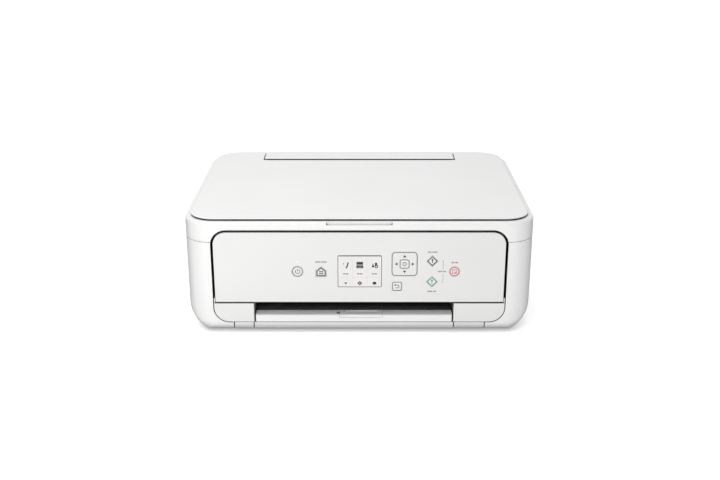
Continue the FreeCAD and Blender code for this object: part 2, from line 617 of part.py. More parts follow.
def make_paper_output_tray():
    x0, x1 = TRAY_X
    lip = box(x0, x1, YF, LIP_BACK, TRIM_LOW, 23.6)
    plate = box(x0, x1, -146, -14, 21.0, 23.6)
    ribs = [box(x, x + 2, -140, -16, 23.4, 24.4) for x in (-100.0, -70.0, 56.0, 86.0)]
    body = join(lip, plate, *ribs)

    def lip_edges(edge):
        b = edge.BoundBox
        top_front = b.YMax < YF + 0.01 and b.ZMin > 23.5
        upright = b.YMax < YF + 0.01 and b.XLength < 0.01
        return top_front or upright
    body = soften(body, 1.8, lip_edges)
    groove = box(SUPPORT_X[0] - 0.3, SUPPORT_X[1] + 0.3, YF - 1, -80, 20.0, 30)
    notch = plate_z(SUPPORT_X[0] - 4, SUPPORT_X[0] + 2, YF + 3, YF + 12, 21.0, 26, (2, 2, 2, 2))
    step = box(x0 - 1, x1 + 1, LIP_BACK, LIP_BACK + 0.7, 22.8, 26)
    return body.cut([groove, notch, step])


def make_output_tray_extension():
    x0, x1 = SUPPORT_X
    body = box(x0, x1, YF, -84, 20.3, 23.6)
    dip = plate_z(x0 + 5, x1 - 5, YF + 4, YF + 14, 22.3, 26, (2, 2, 2, 2))
    hollow = box(x0 + 4, x1 - 4, YF + 20, -90, 19, 22)

    def front_top(edge):
        b = edge.BoundBox
        return b.YMax < YF + 0.01 and b.ZMin > 23.5
    return soften(body, 1.8, front_top).cut([dip, hollow])


def make_cassette():
    x0, x1 = PAPER_X - CASSETTE_HALF, PAPER_X + CASSETTE_HALF
    floor = box(x0, x1, -110, 128, 6.2, 8.0)
    sides = [box(x, x + 2.2, LIP_BACK + 0.7, 128, 6.2, 20) for x in (x0, x1 - 2.2)]
    rear = box(x0, x1, 125.8, 128, 6.2, 14)
    pads = [cyl_z(PAPER_X + d, 105, 8, 8.2, 9) for d in (-14, 14)]
    slots = [box(PAPER_X - 112, PAPER_X - 30, y, y + 2, 6, 7.0) for y in (30, 80)]
    return join(floor, rear, *(sides + pads)).cut(slots)


def make_cassette_front():
    x0, x1 = PAPER_X - SLOT_HALF, PAPER_X + SLOT_HALF
    strip = box(x0, x1, YF, -149.5, FOOT_H + 0.2, STRIP_TOP)
    strip = soften(strip, LOW_FRONT_R - 2, lambda e: e.BoundBox.YMax < YF + 0.01 and e.BoundBox.ZMax < 3.5)
    inner = CASSETTE_HALF - 2.6
    floor = box(PAPER_X - inner, PAPER_X + inner, -150, -62, 8.3, 9.8)
    brace = box(PAPER_X - inner, PAPER_X + inner, -150, -148, 8.3, STRIP_TOP)
    return join(strip, floor, brace)


def make_cassette_guide(side):
    face = PAPER_X + side * 108.2
    wall = box(min(face, face + side * 2), max(face, face + side * 2), 10, 95, 8.3, 18.6)
    foot = box(min(face, face + side * 9), max(face, face + side * 9), 10, 95, 8.3, 9.5)
    lane = 50 if side < 0 else 58
    inner = face - side * 54
    bar = box(min(face, inner), max(face, inner), lane, lane + 5, 8.3, 9.4)
    return join(wall, foot, bar)


# ---------------------------------------------------------------- print engine
def make_chassis():
    plates = []
    for s in (-1, 1):
        a, b = s * SIDE_PLATE, s * (SIDE_PLATE + PLATE_T)
        plates.append(box(min(a, b), max(a, b), -122, 118, 26, 112))
    cross = box(-SIDE_PLATE, SIDE_PLATE, 5, 90, 30, 31.2)
    flange = box(-SIDE_PLATE, SIDE_PLATE, 88.8, 90, 30, 42)
    beam = box(-SIDE_PLATE, SIDE_PLATE, -122, -119.5, 26.5, 34)
    feet = [both_sides(s, 171, 174, y, y + 12, 8.0, 27.0) for s in (-1, 1) for y in (10, 90)]
    x_out = -SIDE_PLATE - PLATE_T
    stub = cyl_x(x_out - 5.4, x_out + 0.5, FEED_IDLER_Y, ROLLER_Z, 3.0)
    body = join(plates[0], plates[1], cross, flange, beam, stub, *feet)
    bores = [cyl_x(-180, 180, FEED_Y, ROLLER_Z, 4 + FIT),
             cyl_x(-180, 180, DISCHARGE_Y, ROLLER_Z, 4 + FIT),
             cyl_x(-180, -160, 104, 33, 3 + FIT)]
    windows = [box(-180, 180, 20, 80, 50, 95), box(-180, 180, -100, -60, 66, 100)]
    return body.cut(bores + windows)


def make_carriage_rail():
    wall = box(-SIDE_PLATE, SIDE_PLATE, -42.5, -41, 62, 104)
    flange = box(-SIDE_PLATE, SIDE_PLATE, -42.5, -18, 62, 63.5)
    pin = cyl_z(PULLEY_X, PULLEY_Y, 63, 91.4, 2.0)
    collar = cyl_z(PULLEY_X, PULLEY_Y, 63, 82.4, 3.4)
    tabs = [both_sides(s, 160, SIDE_PLATE, -42, -36, 96, 98) for s in (-1, 1)]
    return join(wall, flange, pin, collar, *tabs)


def make_carriage_motor():
    can = cyl_z(-PULLEY_X, PULLEY_Y, 63.6, 80, 12)
    cap = cyl_z(-PULLEY_X, PULLEY_Y, 79, 82, 5)
    shaft = cyl_z(-PULLEY_X, PULLEY_Y, 81, 91.6, 1.5)
    return join(can.cut(box(-200, -100, -60, PULLEY_Y - 7.8, 60, 90)), cap, shaft)


def make_pulley(x, bore):
    """Toothed belt pulley on an upright axle."""
    rim = cyl_z(x, PULLEY_Y, 83.4, 91, PULLEY_R)
    flanges = [cyl_z(x, PULLEY_Y, 82.6, 83.5, PULLEY_R + 1), cyl_z(x, PULLEY_Y, 90.2, 91.1, PULLEY_R + 1)]
    return join(rim, *flanges).cut(cyl_z(x, PULLEY_Y, 80, 95, bore + FIT))


def make_carriage_belt():
    loops = []
    for r, z0, z1 in ((PULLEY_R + 1.35, 84.2, 89.4), (PULLEY_R + 0.35, 80, 95)):
        radii = (r - 0.01,) * 4
        loops.append(plate_z(-PULLEY_X - r, PULLEY_X + r, PULLEY_Y - r, PULLEY_Y + r, z0, z1, radii))
    return loops[0].cut(loops[1])


def make_print_carriage():
    c = CARRIAGE_HOME
    w = CARRIAGE_HALF
    floor = box(c - w, c + w, -105, -46, 48, 51)
    walls = [box(x, x + 2.4, -105, -46, 48, 98) for x in (c - w, c - 1.2, c + w - 2.4)]
    rear = box(c - w, c + w, -48.5, -46, 48, 107)
    hook = box(c - w + 4, c + w - 4, -47, -37.4, 104.6, 107)
    back = box(c - w + 4, c + w - 4, -39.8, -37.4, 99, 105)
    clamp = box(c - 8, c + 8, -40.4, -38, 90.0, 100)
    cheeks = [box(x, x + 2.4, -74, -48, 97, 104.6) for x in (c - w, c - 1.2, c + w - 2.4)]
    shoe = box(c - 20, c + 20, -46.5, -43.0, 66, 80)
    body = join(floor, rear, hook, back, clamp, shoe, *(walls + cheeks))
    slots = [box(bay_x(k) - 8, bay_x(k) + 8, -106, -62, 47, 52) for k in (0, 1)]
    bores = cyl_x(c - w - 1, c + w + 1, LOCK_AXIS[0], LOCK_AXIS[1], 1.2 + FIT)
    return body.cut(slots + [bores])


LOCK_AXIS = (-71.0, 100.4)     # y, z of the cartridge locks' hinges


def bay_x(k):
    """Centre of the carriage's left (0) or right (1) bay."""
    return CARRIAGE_HOME + (-1, 1)[k] * 18.9


def make_cartridge(k):
    x = bay_x(k)
    body = box(x - 16.6, x + 16.6, -103.5, -49.2, 51.4, 95)
    body = soften(body, 2.0, lambda e: e.BoundBox.YMax < -103.4)
    nose = box(x - 7, x + 7, -102, -64, 48.6, 52)
    label_step = box(x - 14, x + 14, -110, -102.9, 60, 90)
    return body.fuse(nose).cut(label_step).removeSplitter()


def make_cartridge_lock(k):
    x = bay_x(k)
    y, z = LOCK_AXIS
    half = 17.2
    lever = box(x - half, x + half, -92, y + 1.5, z - 1.2, z + 1.2)
    tip = box(x - half, x + half, -94, -91.2, z - 3.4, z + 1.2)
    pin = cyl_x(x - half - 0.9, x + half + 0.9, y, z, 1.2)
    return join(lever, tip, pin)


def make_roller(y, sleeve_r):
    shaft = cyl_x(-SIDE_PLATE - 6, SIDE_PLATE + 1.4, y, ROLLER_Z, 4.0)
    spans = ((-106, -44), (-30, 30), (44, 106))
    sleeves = [cyl_x(PAPER_X + a, PAPER_X + b, y, ROLLER_Z, sleeve_r) for a, b in spans]
    x_out = -SIDE_PLATE - PLATE_T
    gear = gear_x(x_out - 4.4, x_out - 0.4, y, ROLLER_Z, FEED_TEETH, GEAR_M, 0, 0.5 * 360 / FEED_TEETH)
    return join(shaft, gear, *sleeves)


def make_feed_idler_gear():
    x_out = -SIDE_PLATE - PLATE_T
    return gear_x(x_out - 4.4, x_out - 0.4, FEED_IDLER_Y, ROLLER_Z, IDLER_TEETH, GEAR_M, 3 + FIT, 0.0)


def make_feed_motor():
    can = cyl_x(-205, -180, -24, 82, 14)
    face = box(-180.4, -SIDE_PLATE - PLATE_T, -34, -12, 70, 96)
    return join(can, face)


def make_pickup_roller():
    shaft = cyl_x(-SIDE_PLATE - 1.4, PAPER_X + 30, 104, 33, 3.0)
    tyres = [cyl_x(PAPER_X + a, PAPER_X + a + 14, 104, 33, 10.5) for a in (-22, 8)]
    return join(shaft, *tyres)


def make_print_platen():
    body = box(PAPER_X - 112, PAPER_X + 110, -105, -41.5, 34, 43.5)
    ribs = [box(PAPER_X + d, PAPER_X + d + 1.5, -104, -43, 43, 45.5) for d in range(-105, 106, 15)]
    gutter = [box(PAPER_X - 110, PAPER_X + 108, y, y + 9, 40, 44) for y in (-96, -76)]
    return join(body.cut(gutter), *ribs)


def make_purge_unit():
    body = box(104.2, 168, -104, -48, 31.5, 42)
    caps = [box(bay_x(k) - 7.3, bay_x(k) + 7.3, -100, -62, 41, 46.8) for k in (0, 1)]
    hollows = [box(bay_x(k) - 5.3, bay_x(k) + 5.3, -97, -65, 43, 48) for k in (0, 1)]
    wiper = box(129.6, 131.2, -98, -60, 41, 47.2)
    return join(body, wiper, *caps).cut(hollows)


def make_pinch_rollers():
    """Sprung holder plate with a row of free rollers above the feed roller."""
    holder = box(PAPER_X - 108, PAPER_X + 108, -31, -20, 58, 60.5)
    arms = [box(PAPER_X + d, PAPER_X + d + 26, -36, -28, 51.6, 60) for d in range(-104, 100, 36)]
    rollers = [cyl_x(PAPER_X + d + 1, PAPER_X + d + 25, FEED_Y, 49.6, 3.0) for d in range(-104, 100, 36)]
    solids = join(holder, *arms)
    return join(solids.cut([cyl_x(-200, 200, FEED_Y, 49.6, 3.0)]), *rollers)


# ---------------------------------------------------------------- electrics and feet
def make_power_supply():
    case = box(-203, -176, 30, 128, 62, 100)
    case = case.cut([box(-210, -170, y, y + 3, 96, 101) for y in range(40, 120, 9)])
    wing = box(-203, INLET_X - 10.5, 121, 128, 70, 92)
    socket = box(INLET_X - 10.5, INLET_X + 10.5, 121, YR - 0.3, 72, 90)
    mouth = plate_y(INLET_X - 7.5, INLET_X + 7.5, 76.5, 85.5, 145.5, YR + 1, (4, 4, 4, 4))
    pins = [cyl_y(INLET_X + d, 145, 153, 81, 1.1) for d in (-3.5, 3.5)]
    return join(case, wing, socket).cut(mouth).fuse(pins)


def make_main_board():
    board = box(176, 177.6, -70, 141, 28, 108)
    chips = [box(177.4, 180.4, y, y + 24, z, z + 24) for y, z in ((-40, 50), (10, 60), (60, 40))]
    caps = [cyl_x(177, 186, y, 92, 5) for y in (-50, -36, 100)]
    sockets = [box(177.4, 184, y, y + 14, 34, 40) for y in (-60, -20, 20)]
    arm = box(USB_X - 6.5, 177.6, 124, 139.5, 60, 62)
    usb = box(USB_X - 6.5, USB_X + 6.5, 139, YR - 0.3, 59.5, 71.5)
    mouth = box(USB_X - 4, USB_X + 4, 145, YR + 1, 61.5, 69.5)
    return join(board, arm, usb, *(chips + caps + sockets)).cut(mouth)


def make_rubber_feet():
    feet = []
    for x, y in ((-138, -118), (138, -118), (-138, 112), (138, 112)):
        pad = cyl_z(x, y, 0, FOOT_H, 8)
        feet.append(soften(pad, 0.8, lambda e: e.BoundBox.ZMax < 0.01))
    return Part.makeCompound(feet)


# ---------------------------------------------------------------- write every node
def all_nodes():
    left = PAPER_X - SLOT_HALF
    right = PAPER_X + SLOT_HALF
    nodes = {
        "outer_housing": make_outer_housing(),
        "bottom_case": make_bottom_case(),
        "left_front_trim": make_front_trim(left, -TRIM_HALF + TRIM_GAP),
        "right_front_trim": make_front_trim(right, TRIM_HALF - TRIM_GAP),
        "scanner_housing": make_scanner_housing(),
        "scan_bed": make_scan_bed(),
        "platen_glass": make_platen_glass(),
        "scanner_base": make_scanner_base(),
        "scan_carriage": make_scan_carriage(),
        "scan_drive_gear": make_scan_drive_gear(),
        "document_cover": make_document_cover(),
        "document_pad": make_document_pad(),
        "lid_hinges": make_lid_hinges(),
        "rear_tray_cover": make_rear_tray_cover(),
        "paper_support": make_paper_support(),
        "feed_slot_cover": make_feed_slot_cover(),
        "rear_paper_guide_left": make_rear_guide(-1, 129),
        "rear_paper_guide_right": make_rear_guide(1, 135),
        "rear_feed_chute": make_rear_feed_chute(),
        "rear_transport_cover": make_rear_transport_cover(),
        "operation_panel": make_operation_panel(),
        "panel_inner_cover": make_panel_inner_cover(),
        "control_board": make_control_board(),
        "lcd_window": make_lcd_window(),
        "cross_key": make_cross_key(),
        "ok_button": make_ok_button(),
        "paper_output_tray": make_paper_output_tray(),
        "output_tray_extension": make_output_tray_extension(),
        "cassette": make_cassette(),
        "cassette_front": make_cassette_front(),
        "cassette_guide_left": make_cassette_guide(-1),
        "cassette_guide_right": make_cassette_guide(1),
        "chassis": make_chassis(),
        "carriage_rail": make_carriage_rail(),
        "print_carriage": make_print_carriage(),
        "black_cartridge": make_cartridge(1),
        "colour_cartridge": make_cartridge(0),
        "black_cartridge_lock": make_cartridge_lock(1),
        "colour_cartridge_lock": make_cartridge_lock(0),
        "carriage_belt": make_carriage_belt(),
        "carriage_motor": make_carriage_motor(),
        "carriage_drive_pulley": make_pulley(-PULLEY_X, 1.5),
        "carriage_idler_pulley": make_pulley(PULLEY_X, 2.0),
        "feed_roller": make_roller(FEED_Y, 6.0),
        "discharge_roller": make_roller(DISCHARGE_Y, 5.5),
        "feed_idler_gear": make_feed_idler_gear(),
        "feed_motor": make_feed_motor(),
        "pickup_roller": make_pickup_roller(),
        "pinch_rollers": make_pinch_rollers(),
        "print_platen": make_print_platen(),
        "purge_unit": make_purge_unit(),
        "power_supply": make_power_supply(),
        "main_board": make_main_board(),
        "rubber_feet": make_rubber_feet(),
    }
    for name in PLAIN_KEYS:
        nodes[name] = make_key(name)
    return nodes


def main():
    os.makedirs("parts", exist_ok=True)
    for name, shape in all_nodes().items():
        shape.exportStep("parts/" + name + ".step")


main()
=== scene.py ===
import json
import math

import bmesh
import bpy
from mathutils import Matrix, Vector


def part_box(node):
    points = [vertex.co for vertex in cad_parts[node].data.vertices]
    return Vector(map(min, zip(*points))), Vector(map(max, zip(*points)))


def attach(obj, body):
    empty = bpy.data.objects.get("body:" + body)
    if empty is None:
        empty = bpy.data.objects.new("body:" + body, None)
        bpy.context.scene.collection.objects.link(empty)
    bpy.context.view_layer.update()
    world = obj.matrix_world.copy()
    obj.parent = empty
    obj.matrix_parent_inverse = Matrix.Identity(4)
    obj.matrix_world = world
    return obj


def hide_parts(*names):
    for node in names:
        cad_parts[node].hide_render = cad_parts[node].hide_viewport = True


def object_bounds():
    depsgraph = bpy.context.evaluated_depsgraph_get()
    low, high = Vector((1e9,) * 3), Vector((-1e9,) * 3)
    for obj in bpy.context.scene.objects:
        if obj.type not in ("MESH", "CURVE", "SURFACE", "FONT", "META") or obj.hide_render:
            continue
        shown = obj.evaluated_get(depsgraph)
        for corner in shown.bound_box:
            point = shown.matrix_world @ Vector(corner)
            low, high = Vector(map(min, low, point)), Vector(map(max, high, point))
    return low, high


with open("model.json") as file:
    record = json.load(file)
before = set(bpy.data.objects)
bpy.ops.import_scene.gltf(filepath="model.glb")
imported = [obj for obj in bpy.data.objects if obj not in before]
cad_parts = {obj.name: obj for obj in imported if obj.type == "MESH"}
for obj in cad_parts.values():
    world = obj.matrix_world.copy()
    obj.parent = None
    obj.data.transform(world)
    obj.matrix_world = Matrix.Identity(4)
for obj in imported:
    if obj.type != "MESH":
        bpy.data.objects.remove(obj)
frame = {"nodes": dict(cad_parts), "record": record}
CAD_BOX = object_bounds()

MM = 0.001
FRONT = CAD_BOX[0][1]

# Light: radiance of the surround to the left, overhead and to the right, watts of the two
# softboxes, and the floor's own light under the object and far behind it.
SKY_LEFT = 0.10
SKY_OVER = 0.88
SKY_RIGHT = 0.20
KEY_POWER = 1.60
TOP_POWER = 10.2
FLOOR_GLOW = 0.36
FLOOR_GLOW_FAR = 0.62
FLOOR_SIZE = 90.0

# In metres: how far the painted shade in seams reaches, how far the trays stay white before their
# painted shade begins, the painted shadow along the front edge of the rear tray cover, and the depth
# of the moulded grain.
GAP_SHADE_REACH = 0.007
SHADE_BEHIND_LIP = 0.0155
SHADOW_LINE = 0.0012
GRAIN_DEPTH = 0.00003

# Painted shade on an upright surface as it turns away from view: (how far turned, grey).
TURNING_SHADE = ((0.15, 1.0), (0.45, 0.88), (0.72, 0.60), (0.95, 0.20))

# Camera: millimetres of lens and sensor, metres in front of the case and above the table, degrees
# below level, and sideways shift.
LENS = 49.69
SENSOR = 36.0
CAMERA_BACK = 1.11685
CAMERA_UP = 0.52717
CAMERA_TILT = 19.955
CAMERA_SHIFT = 0.0009


# ------------------------------------------------------------------ node helpers
def new_material(name):
    """A new material with its tree and its one shader."""
    mat = bpy.data.materials.new(name)
    mat.use_nodes = True
    tree = mat.node_tree
    tree.nodes.clear()
    out = tree.nodes.new("ShaderNodeOutputMaterial")
    shader = tree.nodes.new("ShaderNodeBsdfPrincipled")
    tree.links.new(shader.outputs["BSDF"], out.inputs["Surface"])
    return mat, tree, shader


def noise(tree, scale, detail=2.0, rough=0.5, stretch=None):
    """Noise over the object's own metres; stretch scales the three axes."""
    coord = tree.nodes.new("ShaderNodeTexCoord")
    tex = tree.nodes.new("ShaderNodeTexNoise")
    tex.inputs["Scale"].default_value = scale
    tex.inputs["Detail"].default_value = detail
    tex.inputs["Roughness"].default_value = rough
    if stretch is None:
        tree.links.new(coord.outputs["Object"], tex.inputs["Vector"])
    else:
        mapping = tree.nodes.new("ShaderNodeMapping")
        mapping.inputs["Scale"].default_value = stretch
        tree.links.new(coord.outputs["Object"], mapping.inputs["Vector"])
        tree.links.new(mapping.outputs["Vector"], tex.inputs["Vector"])
    return tex.outputs["Fac"]


def ramp(tree, fac, stops):
    """Colour ramp over fac; stops are (place, colour)."""
    node = tree.nodes.new("ShaderNodeValToRGB")
    node.color_ramp.elements[0].position = stops[0][0]
    node.color_ramp.elements[0].color = (*stops[0][1], 1)
    node.color_ramp.elements[1].position = stops[-1][0]
    node.color_ramp.elements[1].color = (*stops[-1][1], 1)
    for place, colour in stops[1:-1]:
        node.color_ramp.elements.new(place).color = (*colour, 1)
    tree.links.new(fac, node.inputs["Fac"])
    return node.outputs["Color"]


def spread(tree, fac, low, high):
    """fac from 0.3 to 0.7 stretched over low to high."""
    node = tree.nodes.new("ShaderNodeMapRange")
    node.inputs["From Min"].default_value = 0.3
    node.inputs["From Max"].default_value = 0.7
    node.inputs["To Min"].default_value = low
    node.inputs["To Max"].default_value = high
    tree.links.new(fac, node.inputs["Value"])
    return node.outputs["Result"]


def bump(tree, shader, height, strength, distance):
    node = tree.nodes.new("ShaderNodeBump")
    node.inputs["Strength"].default_value = strength
    node.inputs["Distance"].default_value = distance
    tree.links.new(height, node.inputs["Height"])
    tree.links.new(node.outputs["Normal"], shader.inputs["Normal"])


def darken(tree, colour, by):
    """colour multiplied by the output by."""
    mix = tree.nodes.new("ShaderNodeMix")
    mix.data_type = "RGBA"
    mix.blend_type = "MULTIPLY"
    mix.inputs["Factor"].default_value = 1.0
    tree.links.new(colour, mix.inputs["A"])
    tree.links.new(by, mix.inputs["B"])
    return mix.outputs["Result"]


def painted_gap_shade(tree, colour, dark):
    """colour with painted shade, falling to dark times itself deep in seams and narrow gaps."""
    occlusion = tree.nodes.new("ShaderNodeAmbientOcclusion")
    occlusion.samples = 8
    occlusion.inputs["Distance"].default_value = GAP_SHADE_REACH
    depth = tree.nodes.new("ShaderNodeMapRange")
    depth.interpolation_type = "SMOOTHSTEP"
    depth.inputs["From Min"].default_value = 0.2
    depth.inputs["From Max"].default_value = 0.62
    depth.inputs["To Min"].default_value = dark
    depth.inputs["To Max"].default_value = 1.0
    tree.links.new(occlusion.outputs["AO"], depth.inputs["Value"])
    return darken(tree, colour, depth.outputs["Result"])


def math_node(tree, operation, a, b):
    node = tree.nodes.new("ShaderNodeMath")
    node.operation = operation
    for socket, value in zip(node.inputs, (a, b)):
        if isinstance(value, (int, float)):
            socket.default_value = value
        else:
            tree.links.new(value, socket)
    return node.outputs["Value"]


def painted_side_and_under_shade(tree, colour):
    """colour with painted shade: greyer where a side turns away, curves under or comes near the table."""
    # Painted shade on sides turning away from view, strongest on upright faces.
    weight = tree.nodes.new("ShaderNodeLayerWeight")
    weight.inputs["Blend"].default_value = 0.5
    geometry = tree.nodes.new("ShaderNodeNewGeometry")
    tilt = tree.nodes.new("ShaderNodeSeparateXYZ")
    tree.links.new(geometry.outputs["Normal"], tilt.inputs["Vector"])
    upright = math_node(tree, "SUBTRACT", 1.0, math_node(tree, "MAXIMUM", tilt.outputs["Z"], 0.0))
    turned = math_node(tree, "MULTIPLY", weight.outputs["Facing"], upright)
    side = ramp(tree, turned, [(place, (grey,) * 3) for place, grey in TURNING_SHADE])
    coord = tree.nodes.new("ShaderNodeTexCoord")
    place = tree.nodes.new("ShaderNodeSeparateXYZ")
    tree.links.new(coord.outputs["Object"], place.inputs["Vector"])
    # Painted shade near the table: darkened to 0.45 at 2 mm up, fading out by 16 mm.
    low = tree.nodes.new("ShaderNodeMapRange")
    low.interpolation_type = "SMOOTHSTEP"
    low.inputs["From Min"].default_value = 0.002
    low.inputs["From Max"].default_value = 0.016
    low.inputs["To Min"].default_value = 0.45
    tree.links.new(place.outputs["Z"], low.inputs["Value"])
    return darken(tree, colour, math_node(tree, "MULTIPLY", side, low.outputs["Result"]))


def shade(colour, k):
    return tuple(min(1.0, c * k) for c in colour)


# ------------------------------------------------------------------ materials
def moulded(name, colour, rough=0.42, drift=0.012, grain=0.25, grain_scale=1400.0, gap_shade=None,
            side_shade=False):
    """Moulded plastic: faint flow shading, fine spark-eroded grain, uneven gloss, painted shade in seams
    and, on outer pieces, painted shade on sides turning away and near the table.
    """
    mat, tree, shader = new_material(name)
    flow = noise(tree, 9.0, 3.0, 0.55)
    tint = ramp(tree, flow, [(0.3, shade(colour, 1 - drift)), (0.7, shade(colour, 1 + drift))])
    if gap_shade is not None:
        tint = painted_gap_shade(tree, tint, gap_shade)
    if side_shade:
        tint = painted_side_and_under_shade(tree, tint)
    tree.links.new(tint, shader.inputs["Base Color"])
    fine = noise(tree, grain_scale, 2.0, 0.6)
    tree.links.new(spread(tree, fine, rough - 0.05, rough + 0.07), shader.inputs["Roughness"])
    shader.inputs["IOR"].default_value = 1.5
    bump(tree, shader, fine, grain, GRAIN_DEPTH)
    return mat


def metal(name, colour, rough=0.32, streaks=(1.0, 90.0, 90.0)):
    """Rolled or zinc-plated sheet with fine streaks and slight spangle."""
    mat, tree, shader = new_material(name)
    shader.inputs["Metallic"].default_value = 1.0
    patch = noise(tree, 45.0, 4.0, 0.6)
    tree.links.new(ramp(tree, patch, [(0.3, shade(colour, 0.86)), (0.7, shade(colour, 1.05))]),
                   shader.inputs["Base Color"])
    lines = noise(tree, 14.0, 3.0, 0.6, streaks)
    tree.links.new(spread(tree, lines, rough - 0.08, rough + 0.12), shader.inputs["Roughness"])
    bump(tree, shader, lines, 0.15, 0.00004)
    return mat


def rubber(name, colour, rough=0.75):
    mat, tree, shader = new_material(name)
    worn = noise(tree, 160.0, 4.0, 0.6)
    tree.links.new(ramp(tree, worn, [(0.3, shade(colour, 0.75)), (0.7, shade(colour, 1.5))]),
                   shader.inputs["Base Color"])
    fine = noise(tree, 2600.0, 2.0, 0.5)
    tree.links.new(spread(tree, fine, rough - 0.08, rough + 0.1), shader.inputs["Roughness"])
    bump(tree, shader, fine, 0.4, 0.00005)
    return mat


def clear_glass(name):
    mat, tree, shader = new_material(name)
    shader.inputs["Transmission Weight"].default_value = 1.0
    shader.inputs["IOR"].default_value = 1.5
    haze = noise(tree, 25.0, 3.0, 0.5)
    tree.links.new(ramp(tree, haze, [(0.3, (0.90, 0.96, 0.94)), (0.7, (0.94, 0.98, 0.97))]),
                   shader.inputs["Base Color"])
    tree.links.new(spread(tree, haze, 0.01, 0.04), shader.inputs["Roughness"])
    return mat


def circuit_board(name):
    """Solder mask with faint copper tracks under it."""
    mat, tree, shader = new_material(name)
    coord = tree.nodes.new("ShaderNodeTexCoord")
    brick = tree.nodes.new("ShaderNodeTexBrick")
    mapping = tree.nodes.new("ShaderNodeMapping")
    mapping.inputs["Rotation"].default_value = (math.radians(90), 0, 0)
    brick.inputs["Scale"].default_value = 120.0
    brick.inputs["Mortar Size"].default_value = 0.03
    brick.inputs["Color1"].default_value = (0.02, 0.13, 0.06, 1)
    brick.inputs["Color2"].default_value = (0.025, 0.16, 0.075, 1)
    brick.inputs["Mortar"].default_value = (0.06, 0.28, 0.13, 1)
    tree.links.new(coord.outputs["Object"], mapping.inputs["Vector"])
    tree.links.new(mapping.outputs["Vector"], brick.inputs["Vector"])
    tree.links.new(brick.outputs["Color"], shader.inputs["Base Color"])
    fine = noise(tree, 700.0)
    tree.links.new(spread(tree, fine, 0.22, 0.38), shader.inputs["Roughness"])
    bump(tree, shader, brick.outputs["Fac"], 0.3, 0.00003)
    return mat


def printed(name, colour, rough=0.5):
    """Screen-printed ink: a little uneven in cover."""
    mat, tree, shader = new_material(name)
    cover = noise(tree, 900.0, 3.0, 0.6)
    tree.links.new(ramp(tree, cover, [(0.3, shade(colour, 0.9)), (0.7, shade(colour, 1.1))]),
                   shader.inputs["Base Color"])
    tree.links.new(spread(tree, cover, rough - 0.05, rough + 0.05), shader.inputs["Roughness"])
    return mat


def lit_screen(name, colour, glow=0.25):
    """Backlit display face with a soft fall-off of its backlight."""
    mat, tree, shader = new_material(name)
    soft = noise(tree, 30.0, 2.0, 0.5)
    tint = ramp(tree, soft, [(0.3, shade(colour, 0.97)), (0.7, shade(colour, 1.02))])
    tree.links.new(tint, shader.inputs["Base Color"])
    tree.links.new(tint, shader.inputs["Emission Color"])
    shader.inputs["Emission Strength"].default_value = glow
    fine = noise(tree, 3000.0)
    tree.links.new(spread(tree, fine, 0.10, 0.16), shader.inputs["Roughness"])
    return mat


def foam_sheet(name, colour):
    """White film over foam: small soft cells press through."""
    mat, tree, shader = new_material(name)
    coord = tree.nodes.new("ShaderNodeTexCoord")
    cells = tree.nodes.new("ShaderNodeTexVoronoi")
    cells.inputs["Scale"].default_value = 420.0
    tree.links.new(coord.outputs["Object"], cells.inputs["Vector"])
    wide = noise(tree, 12.0, 3.0, 0.5)
    tree.links.new(ramp(tree, wide, [(0.3, shade(colour, 0.97)), (0.7, shade(colour, 1.01))]),
                   shader.inputs["Base Color"])
    tree.links.new(spread(tree, noise(tree, 500.0), 0.55, 0.75), shader.inputs["Roughness"])
    bump(tree, shader, cells.outputs["Distance"], 0.35, 0.0001)
    return mat


def painted_shade_split(name, front_colour, back_colour, boundary, gap_shade=0.15):
    """Piece in two colours, one of them painted shade: in front of boundary, in metres along Y, and
    behind it. Seams get painted shade as well.
    """
    mat, tree, shader = new_material(name)
    coord = tree.nodes.new("ShaderNodeTexCoord")
    split = tree.nodes.new("ShaderNodeSeparateXYZ")
    tree.links.new(coord.outputs["Object"], split.inputs["Vector"])
    side = tree.nodes.new("ShaderNodeMath")
    side.operation = "GREATER_THAN"
    side.inputs[1].default_value = boundary
    tree.links.new(split.outputs["Y"], side.inputs[0])
    flow = noise(tree, 9.0, 3.0, 0.55)
    front = ramp(tree, flow, [(0.3, shade(front_colour, 0.985)), (0.7, shade(front_colour, 1.01))])
    back = ramp(tree, flow, [(0.3, shade(back_colour, 0.985)), (0.7, shade(back_colour, 1.01))])
    mix = tree.nodes.new("ShaderNodeMix")
    mix.data_type = "RGBA"
    tree.links.new(side.outputs["Value"], mix.inputs["Factor"])
    tree.links.new(front, mix.inputs["A"])
    tree.links.new(back, mix.inputs["B"])
    tree.links.new(painted_gap_shade(tree, mix.outputs["Result"], gap_shade), shader.inputs["Base Color"])
    fine = noise(tree, 1400.0, 2.0, 0.6)
    tree.links.new(spread(tree, fine, 0.40, 0.52), shader.inputs["Roughness"])
    bump(tree, shader, fine, 0.25, GRAIN_DEPTH)
    return mat


WHITE = (0.775, 0.775, 0.77)
PANEL = (0.700, 0.700, 0.692)
# Seam darkening in these materials is painted shade; outer pieces also get painted shade on sides turning
# away and near the table.
CASE_MAT = moulded("case_moulding", WHITE, 0.46, gap_shade=0.04, side_shade=True)
LID_MAT = moulded("lid_moulding", WHITE, 0.50, grain=0.35, grain_scale=1100.0, gap_shade=0.04)
PANEL_MAT = moulded("panel_moulding", PANEL, 0.40, grain=0.15, gap_shade=0.04, side_shade=True)
# Base: a darker copy of the case white, painted shade on the low front.
BASE_MAT = moulded("base_moulding", shade(WHITE, 0.90), 0.46, gap_shade=0.04, side_shade=True)
KEY_MAT = moulded("key_moulding", shade(PANEL, 0.985), 0.38, grain=0.12, gap_shade=0.3)
